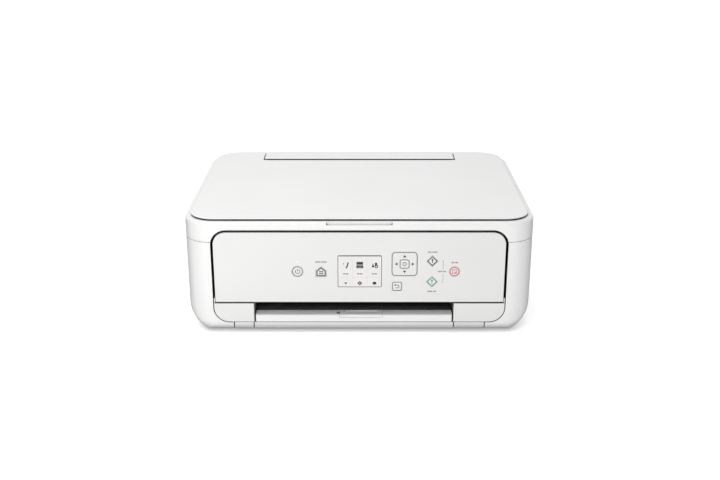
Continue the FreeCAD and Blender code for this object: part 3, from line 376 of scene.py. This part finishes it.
# Trays: white at the front, near black behind, painted shade inside the output slot; the grip takes less
# painted shade in its seams.
TRAY_MAT = painted_shade_split("tray_moulding", WHITE, (0.035, 0.035, 0.037), FRONT + SHADE_BEHIND_LIP)
GRIP_MAT = painted_shade_split("tray_grip_moulding", WHITE, (0.035, 0.035, 0.037), FRONT + SHADE_BEHIND_LIP, 0.6)
# Rear tray cover: a near black band along its front edge, painted shadow of the gap in front of it.
FLAP_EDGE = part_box("rear_tray_cover")[0][1]
FLAP_MAT = painted_shade_split("rear_cover_moulding", (0.02, 0.02, 0.02), WHITE, FLAP_EDGE + SHADOW_LINE)
INNER_MAT = moulded("inner_moulding", (0.045, 0.045, 0.047), 0.55, drift=0.12)
BLACK_MAT = moulded("black_moulding", (0.012, 0.012, 0.013), 0.5, drift=0.15)
GUIDE_MAT = moulded("guide_moulding", (0.34, 0.35, 0.36), 0.5, drift=0.05)
GEAR_MAT = moulded("gear_acetal", (0.78, 0.76, 0.70), 0.36, drift=0.03)
INK_MAT = moulded("cartridge_shell", (0.02, 0.02, 0.022), 0.35, drift=0.1)
INK_COLOUR_MAT = moulded("colour_cartridge_shell", (0.06, 0.07, 0.09), 0.35, drift=0.1)
STEEL_MAT = metal("plated_steel", (0.66, 0.67, 0.69))
SHAFT_MAT = metal("ground_shaft", (0.70, 0.70, 0.71), 0.22, (1.0, 60.0, 60.0))
RUBBER_MAT = rubber("roller_rubber", (0.03, 0.03, 0.03))
GLASS_MAT = clear_glass("platen_glass_clear")
BOARD_MAT = circuit_board("control_board_mask")
SCREEN_MAT = lit_screen("display_face", (0.695, 0.675, 0.668), 0.05)
PAD_MAT = foam_sheet("pad_film", (0.84, 0.84, 0.83))
GREY_INK = printed("grey_ink", (0.11, 0.11, 0.11))
CAPTION_INK = printed("caption_ink", (0.33, 0.33, 0.34))
ROSE_INK = printed("rose_ink", (0.45, 0.27, 0.27))
DARK_INK = printed("dark_ink", (0.015, 0.015, 0.018))
GREEN_INK = printed("green_ink", (0.03, 0.30, 0.14))
RED_INK = printed("red_ink", (0.55, 0.06, 0.07))
LAMP_MAT = lit_screen("lamp_lens", (0.86, 0.84, 0.55), 0.15)

FINISH = {
    "case_white": CASE_MAT, "panel_white": PANEL_MAT, "key_white": KEY_MAT, "tray_grey": TRAY_MAT,
    "inner_grey": INNER_MAT, "inner_black": BLACK_MAT, "guide_grey": GUIDE_MAT, "pad_white": PAD_MAT,
    "glass": GLASS_MAT, "screen": SCREEN_MAT, "steel": STEEL_MAT, "gear_white": GEAR_MAT,
    "rubber": RUBBER_MAT, "board_green": BOARD_MAT, "ink_black": INK_MAT, "ink_colour": INK_COLOUR_MAT,
}
# Trims and bottom case take the darker panel white and the cassette front the base white: painted shade on
# the low front.
OWN_FINISH = {"document_cover": LID_MAT, "feed_roller": SHAFT_MAT, "discharge_roller": SHAFT_MAT,
              "output_tray_extension": GRIP_MAT, "rear_tray_cover": FLAP_MAT,
              "left_front_trim": PANEL_MAT, "right_front_trim": PANEL_MAT, "bottom_case": PANEL_MAT,
              "cassette_front": BASE_MAT}


def dress(node, mat):
    """One material over a CAD node."""
    obj = frame["nodes"][node]
    obj.data.materials.clear()
    obj.data.materials.append(mat)


for entry in frame["record"]["subparts"]:
    dress(entry["node"], OWN_FINISH.get(entry["node"], FINISH[entry["material_slot"]]))


# ------------------------------------------------------------------ small mesh helpers
def finish_mesh(name, bm, mat, body):
    """A new piece from a bmesh, riding on a body."""
    bmesh.ops.recalc_face_normals(bm, faces=bm.faces)
    mesh = bpy.data.meshes.new(name)
    bm.to_mesh(mesh)
    bm.free()
    mesh.materials.append(mat)
    obj = bpy.data.objects.new(name, mesh)
    bpy.context.scene.collection.objects.link(obj)
    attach(obj, body)
    return obj


def prism_faces(bm, points, y0, y1):
    """Closed plate from an outline of (x, z) in mm between two depths in metres."""
    front = [bm.verts.new((x * MM, y0, z * MM)) for x, z in points]
    back = [bm.verts.new((x * MM, y1, z * MM)) for x, z in points]
    bm.faces.new(front)
    bm.faces.new(list(reversed(back)))
    for i in range(len(points)):
        j = (i + 1) % len(points)
        bm.faces.new((front[i], back[i], back[j], front[j]))


def ribbon_faces(bm, points, width, closed, y0, y1):
    """Closed strip of constant width along (x, z) points in mm."""
    n = len(points)
    left, right = [], []
    for i, p in enumerate(points):
        before = points[(i - 1) % n] if closed or i else None
        after = points[(i + 1) % n] if closed or i < n - 1 else None
        a = (Vector(p) - Vector(before)).normalized() if before else None
        b = (Vector(after) - Vector(p)).normalized() if after else None
        a = a or b
        b = b or a
        mid = (a + b).normalized()
        normal = Vector((-mid.y, mid.x))
        reach = width / 2 / max(0.35, mid.dot(a))
        left.append(Vector(p) + normal * reach)
        right.append(Vector(p) - normal * reach)
    rings = []
    for l, r in zip(left, right):
        rings.append([bm.verts.new((v.x * MM, y, v.y * MM)) for v, y in ((l, y0), (r, y0), (r, y1), (l, y1))])
    spans = n if closed else n - 1
    for i in range(spans):
        a, b = rings[i], rings[(i + 1) % n]
        for k in range(4):
            bm.faces.new((a[k], a[(k + 1) % 4], b[(k + 1) % 4], b[k]))
    if not closed:
        bm.faces.new(rings[0])
        bm.faces.new(list(reversed(rings[-1])))


def circle(cx, cz, r, start=0.0, end=360.0, count=40):
    """Points of an arc, in mm; angles from +X towards +Z."""
    full = abs(end - start) >= 360
    steps = count if full else count - 1
    return [(cx + r * math.cos(math.radians(start + (end - start) * i / steps)),
             cz + r * math.sin(math.radians(start + (end - start) * i / steps))) for i in range(count)]


def rounded(cx, cz, hw, hh, r, count=6):
    """Points of a rounded rectangle."""
    points = []
    for sx, sz, start in ((1, 1, 0), (-1, 1, 90), (-1, -1, 180), (1, -1, 270)):
        points += circle(cx + sx * (hw - r), cz + sz * (hh - r), r, start, start + 90, count)
    return points


class Print:
    """Gathers flat marks of one colour on one face, then makes them one thin piece."""

    def __init__(self, name, mat, body, face_y, slot, thick=0.05):
        self.name, self.mat, self.body, self.slot = name, mat, body, slot
        self.y0 = face_y - thick * MM
        self.y1 = face_y + 0.02 * MM
        self.bm = bmesh.new()

    def area(self, points):
        prism_faces(self.bm, points, self.y0, self.y1)
        return self

    def line(self, points, width, closed=False):
        ribbon_faces(self.bm, points, width, closed, self.y0, self.y1)
        return self

    def bar(self, cx, cz, w, h):
        return self.area([(cx - w / 2, cz - h / 2), (cx + w / 2, cz - h / 2),
                          (cx + w / 2, cz + h / 2), (cx - w / 2, cz + h / 2)])

    def done(self):
        return finish_mesh(self.name, self.bm, self.mat, self.body)


def middle(node):
    """Centre of a node's front, in mm, and the depth of its front face in metres."""
    low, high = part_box(node)
    return (low[0] + high[0]) / 2 / MM, (low[2] + high[2]) / 2 / MM, low[1]


# ------------------------------------------------------------------ marks on the keys
def power_marks():
    x, z, y = middle("power_button")
    mark = Print("power_mark", GREY_INK, "power_button", y, "key_white")
    mark.line(circle(x, z, 6.0), 0.8, True)
    mark.line(circle(x, z, 2.7, 125, 415), 0.8)
    mark.line([(x, z + 0.2), (x, z + 3.6)], 0.8)
    mark.done()


def home_marks():
    x, z, y = middle("home_button")
    z -= 0.3
    mark = Print("home_mark", DARK_INK, "home_button", y, "key_white")
    mark.line([(x - 4.6, z - 5.3), (x + 4.6, z - 5.3), (x + 5.0, z - 4.9), (x + 5.0, z + 1.0), (x, z + 5.0),
               (x - 5.0, z + 1.0), (x - 5.0, z - 4.9)], 1.35, True)
    for dx in (-1.35, 1.35):
        for dz in (-2.5, 0.2):
            mark.bar(x + dx, z + dz, 1.8, 1.8)
    mark.done()


def cross_marks():
    x, z, y = middle("cross_key")
    edge = Print("cross_key_outline", GREY_INK, "cross_key", y, "key_white")
    edge.line(rounded(x, z, 14.9, 14.9, 4.1), 0.7, True)
    edge.done()
    arrows = Print("cross_key_arrows", DARK_INK, "cross_key", y, "key_white")
    for turn in (0, 90, 180, 270):
        a = math.radians(turn)
        tip = [(11.8, 0.0), (8.6, 1.9), (8.6, -1.9)]
        arrows.area([(x + p * math.cos(a) - q * math.sin(a), z + p * math.sin(a) + q * math.cos(a))
                     for p, q in tip])
    arrows.done()
    x, z, y = middle("ok_button")
    ok = Print("ok_mark", GREY_INK, "ok_button", y, "key_white")
    ok.line(rounded(x, z, 5.25, 5.25, 2.1), 0.65, True)
    ok.line(circle(x, z, 2.1), 0.8, True)
    ok.done()


def back_marks():
    x, z, y = middle("back_button")
    mark = Print("back_mark", GREY_INK, "back_button", y, "key_white")
    mark.line(rounded(x, z, 5.3, 5.3, 1.7), 0.65, True)
    mark.line([(x - 1.9, z + 1.6), (x + 0.6, z + 1.6)] + circle(x + 0.6, z - 0.2, 1.8, 90, -90, 12)
              + [(x - 1.6, z - 2.0)], 0.75)
    mark.area([(x - 3.6, z + 1.6), (x - 1.7, z - 0.1), (x - 1.7, z + 3.3)])
    mark.done()


def start_marks():
    for node, ink in (("black_start_button", DARK_INK), ("colour_start_button", GREEN_INK)):
        x, z, y = middle(node)
        mark = Print(node.replace("button", "mark"), ink, node, y, "key_white")
        mark.line([(x - 5.7, z), (x, z - 5.7), (x + 5.7, z), (x, z + 5.7)], 1.05, True)
        mark.line([(x, z - 2.6), (x, z + 2.6)], 0.95)
        mark.line([(x - 1.1, z + 1.3), (x, z + 2.6), (x + 1.1, z + 1.3)], 0.7)
        mark.done()


def stop_marks():
    x, z, y = middle("stop_button")
    mark = Print("stop_mark", RED_INK, "stop_button", y, "key_white")
    mark.line(circle(x, z, 5.4), 1.05, True)
    mark.line([(x - 2.3, z - 2.3), (x + 2.3, z - 2.3), (x + 2.3, z + 2.3), (x - 2.3, z + 2.3)], 0.75, True)
    mark.line([(x - 0.2, z - 0.1), (x + 1.9, z - 1.9)], 0.75)
    mark.done()


def dashes(mark, cx, cz, lengths, height, gap=0.8):
    """Blank caption: a row of short bars."""
    total = sum(lengths) + gap * (len(lengths) - 1)
    x = cx - total / 2
    for length in lengths:
        mark.bar(x + length / 2, cz, length, height)
        x += length + gap


def panel_marks():
    """Blank captions beside the keys, and the bracket of the two start keys."""
    y = FRONT
    grey = Print("panel_captions", CAPTION_INK, "front_cover", y, "panel_white")
    home_x, home_z, _ = middle("home_button")
    black_x, black_z, _ = middle("black_start_button")
    colour_x, colour_z, _ = middle("colour_start_button")
    stop_x, stop_z, _ = middle("stop_button")
    dashes(grey, home_x, home_z + 12.3, (6.0, 7.0), 1.9)
    dashes(grey, black_x, black_z + 11.6, (4.2, 6.4), 1.8)
    mid_z = (black_z + colour_z) / 2
    reach = black_x + 13.2
    grey.line([(reach - 1.6, black_z + 0.6), (reach, black_z + 0.6), (reach, mid_z + 2.6)], 0.55)
    grey.line([(reach - 1.6, colour_z - 0.6), (reach, colour_z - 0.6), (reach, mid_z - 2.6)], 0.55)
    dashes(grey, reach - 1.4, mid_z, (5.4, 3.6), 1.7)
    grey.done()
    warm = Print("panel_warm_captions", ROSE_INK, "front_cover", y, "panel_white")
    dashes(warm, stop_x, stop_z + 11.7, (3.6, 4.0), 1.8)
    dashes(warm, colour_x, colour_z - 12.6, (6.0, 3.8), 1.9)
    warm.done()
    power_x, power_z, _ = middle("power_button")
    lamp = Print("power_lamp_lens", LAMP_MAT, "front_cover", y, "screen")
    lamp.area(circle(power_x, power_z + 12.2, 1.1, count=20))
    lamp.done()


# ------------------------------------------------------------------ the display
def display():
    """Six pictograms in two rows, with blank captions under the upper three."""
    low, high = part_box("lcd_window")
    x0, x1, z0, z1, y = low[0] / MM, high[0] / MM, low[2] / MM, high[2] / MM, low[1]
    cx, w, h = (x0 + x1) / 2, x1 - x0, z1 - z0
    rim = Print("display_rim", GREY_INK, "front_cover", y, "screen")
    rim.line(rounded(cx, (z0 + z1) / 2, w / 2 - 0.35, h / 2 - 0.35, 1.7), 0.8, True)
    rim.bar(cx, z1 - 0.75, w - 3.0, 1.1)
    rim.done()
    faint = Print("display_rules", printed("rule_tint", (0.62, 0.55, 0.55)), "front_cover", y, "screen", 0.03)
    for k in (-1, 1):
        faint.line([(cx + k * w / 6, z0 + 1.5), (cx + k * w / 6, z1 - 2)], 0.35)
    faint.line([(x0 + 1.5, z0 + 0.30 * h), (x1 - 1.5, z0 + 0.30 * h)], 0.3)
    faint.done()
    dark = Print("display_pictograms", DARK_INK, "front_cover", y, "screen")
    top = z0 + 0.70 * h
    a, b, c = cx - w / 3 + 0.8, cx, cx + w / 3
    dark.line([(a - 2.6, top + 2.6), (a - 2.6, top + 0.6)], 0.7)
    dark.line([(a + 0.4, top - 4.2), (a + 1.9, top - 1.4), (a + 3.0, top + 3.2)], 1.5)
    dark.bar(b, top + 2.1, 7.8, 3.6)
    dark.bar(b, top - 1.5, 6.6, 2.0)
    dark.line([(b - 3.4, top - 0.4), (b - 3.4, top - 3.6), (b + 3.4, top - 3.6), (b + 3.4, top - 0.4)], 1.3)
    dark.bar(c + 1.8, top + 1.2, 2.6, 3.4)
    dark.line(circle(c + 2.2, top - 2.0, 1.6, count=16), 1.1, True)
    dark.area(circle(c - 1.8, top - 1.7, 1.5, count=16))
    dark.bar(c - 1.8, top + 0.2, 1.0, 3.2)
    low_row = z0 + 0.125 * h
    dark.area([(a - 1.7, low_row + 1.0), (a + 1.7, low_row + 1.0), (a, low_row - 1.6)])
    dark.line([(b - 2.1, low_row), (b, low_row - 1.9), (b + 2.1, low_row), (b, low_row + 1.9)], 1.3, True)
    dark.area(rounded(c, low_row, 2.1, 1.8, 0.9))
    dark.done()
    captions = Print("display_captions", GREY_INK, "front_cover", y, "screen")
    for x in (a, b, c):
        dashes(captions, x, z0 + 0.42 * h, (2.6, 3.2), 1.2, 0.5)
    captions.done()


power_marks()
home_marks()
cross_marks()
back_marks()
start_marks()
stop_marks()
panel_marks()
display()


# ------------------------------------------------------------------ document pad
def document_pad():
    """The lid's pad: film wrapped over foam, edges pulled in and face a little crowned."""
    low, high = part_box("document_pad")
    centre = [(low[i] + high[i]) / 2 for i in range(3)]
    half = [(high[i] - low[i]) / 2 for i in range(3)]
    cols, rows, layers = 36, 28, 6
    bm = bmesh.new()

    def place(u, v, w):
        rim = max(abs(u), abs(v))
        pull = 0.35 * half[2] * abs(w) ** 4
        crown = 1.0 - 0.22 * rim ** 24 - 0.03 * rim ** 2
        return bm.verts.new((centre[0] + u * (half[0] - pull), centre[1] + v * (half[1] - pull),
                             centre[2] + w * half[2] * crown))

    def sheet(w, flip):
        grid = [[place(2 * i / cols - 1, 2 * j / rows - 1, w) for i in range(cols + 1)]
                for j in range(rows + 1)]
        for j in range(rows):
            for i in range(cols):
                quad = [grid[j][i], grid[j][i + 1], grid[j + 1][i + 1], grid[j + 1][i]]
                bm.faces.new(list(reversed(quad)) if flip else quad)
        return (grid[0] + [r[-1] for r in grid[1:]] + list(reversed(grid[-1][:-1]))
                + [r[0] for r in reversed(grid[1:-1])])

    under = sheet(-1.0, True)
    over = sheet(1.0, False)
    ring_uv = ([(2 * i / cols - 1, -1.0) for i in range(cols + 1)]
               + [(1.0, 2 * j / rows - 1) for j in range(1, rows + 1)]
               + [(2 * i / cols - 1, 1.0) for i in reversed(range(cols))]
               + [(-1.0, 2 * j / rows - 1) for j in reversed(range(1, rows))])
    rings = [under]
    for k in range(1, layers):
        rings.append([place(u, v, 2 * k / layers - 1) for u, v in ring_uv])
    rings.append(over)
    for a, b in zip(rings, rings[1:]):
        for i in range(len(a)):
            j = (i + 1) % len(a)
            bm.faces.new((a[i], a[j], b[j], b[i]))
    pad = finish_mesh("document_pad_soft", bm, PAD_MAT, "document_cover")
    for poly in pad.data.polygons:
        poly.use_smooth = True
    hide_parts("document_pad")


document_pad()


# ------------------------------------------------------------------ stage
def stage():
    bpy.ops.mesh.primitive_plane_add(size=FLOOR_SIZE, location=(0, 0, 0))
    floor = bpy.context.object
    floor.name = "floor"
    mat, tree, shader = new_material("pale_floor")
    tint = noise(tree, 3.0, 2.0)
    tree.links.new(ramp(tree, tint, [(0.3, (0.93,) * 3), (0.7, (0.95,) * 3)]), shader.inputs["Base Color"])
    shader.inputs["Roughness"].default_value = 0.9
    shader.inputs["Specular IOR Level"].default_value = 0.1
    shader.inputs["Emission Color"].default_value = (1, 1, 1, 1)
    coord = tree.nodes.new("ShaderNodeTexCoord")
    reach = tree.nodes.new("ShaderNodeVectorMath")
    reach.operation = "LENGTH"
    tree.links.new(coord.outputs["Object"], reach.inputs[0])
    glow = tree.nodes.new("ShaderNodeMapRange")
    glow.inputs["From Min"].default_value = 0.8
    glow.inputs["From Max"].default_value = 3.0
    glow.inputs["To Min"].default_value = FLOOR_GLOW
    glow.inputs["To Max"].default_value = FLOOR_GLOW_FAR
    tree.links.new(reach.outputs["Value"], glow.inputs["Value"])
    tree.links.new(glow.outputs["Result"], shader.inputs["Emission Strength"])
    floor.data.materials.append(mat)


def softbox(name, place, target, size, power):
    data = bpy.data.lights.new(name, "AREA")
    data.shape = "RECTANGLE"
    data.size, data.size_y = size
    data.energy = power
    lamp = bpy.data.objects.new(name, data)
    lamp.location = place
    lamp.rotation_euler = (Vector(target) - Vector(place)).to_track_quat("-Z", "Y").to_euler()
    bpy.context.scene.collection.objects.link(lamp)


def studio_world():
    """White surround, bright from front to back over the top and dim on both sides."""
    world = bpy.data.worlds.new("studio")
    world.use_nodes = True
    tree = world.node_tree
    back = tree.nodes["Background"]
    coord = tree.nodes.new("ShaderNodeTexCoord")
    split = tree.nodes.new("ShaderNodeSeparateXYZ")
    tree.links.new(coord.outputs["Generated"], split.inputs["Vector"])
    across = tree.nodes.new("ShaderNodeMapRange")
    across.inputs["From Min"].default_value = -1.0
    tree.links.new(split.outputs["X"], across.inputs["Value"])
    level = ramp(tree, across.outputs["Result"],
                 [(0.0, (SKY_LEFT,) * 3), (0.5, (SKY_OVER,) * 3), (1.0, (SKY_RIGHT,) * 3)])
    tree.links.new(level, back.inputs["Strength"])
    back.inputs["Color"].default_value = (1, 1, 1, 1)
    bpy.context.scene.world = world


def lights():
    studio_world()
    softbox("key_left", (-0.32, -0.76, 0.46), (-0.05, -0.12, 0.08), (0.4, 0.4), KEY_POWER)
    softbox("top", (-0.25, 0.0, 1.40), (0, 0, 0.1), (1.2, 1.2), TOP_POWER)


def camera():
    data = bpy.data.cameras.new("camera")
    data.sensor_width = SENSOR
    data.lens = LENS
    cam = bpy.data.objects.new("camera", data)
    cam.location = (0.0, FRONT - CAMERA_BACK, CAMERA_UP)
    cam.rotation_euler = (math.radians(90 - CAMERA_TILT), 0, 0)
    data.shift_x = CAMERA_SHIFT
    bpy.context.scene.collection.objects.link(cam)
    bpy.context.scene.camera = cam


stage()
lights()
camera()
bpy.context.scene.view_settings.view_transform = "Standard"
